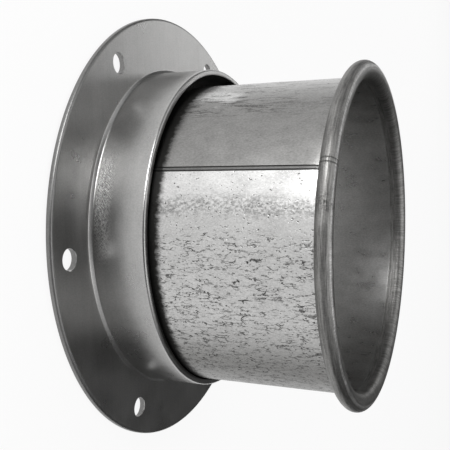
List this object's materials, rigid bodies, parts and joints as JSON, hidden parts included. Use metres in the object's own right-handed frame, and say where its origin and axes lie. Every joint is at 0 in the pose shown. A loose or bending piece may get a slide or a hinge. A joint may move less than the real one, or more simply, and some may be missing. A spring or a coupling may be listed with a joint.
{
  "type": "flange adaptor",
  "caption": "Short round sheet-metal duct stub with a rolled clamp lip at one end and a loose angle-steel flange ring, drilled for bolts, at the other.",
  "frame": {"origin": "centre of the ring's bolt circle, in the plane of the turned-out lap's lower face", "axes": "+Z along the duct's axis, from the bolted end to the rolled lip; +X through one bolt hole at rest"},
  "size_m": [0.216, 0.216, 0.112],
  "materials": {
    "galvanised_sheet": "bright galvanised sheet with fine dark spangle",
    "rolled_angle_steel": "dull satin rolled steel"
  },
  "bodies": {
    "stub": {"duct_stub": "galvanised_sheet"},
    "ring": {"angle_ring": "rolled_angle_steel"}
  },
  "joints": [
    {"name": "ring_turn", "type": "hinge", "parent": "stub", "child": "ring", "pos_m": [0, 0, 0.0013], "axis": [0, 0, 1], "continuous": true}
  ]
}
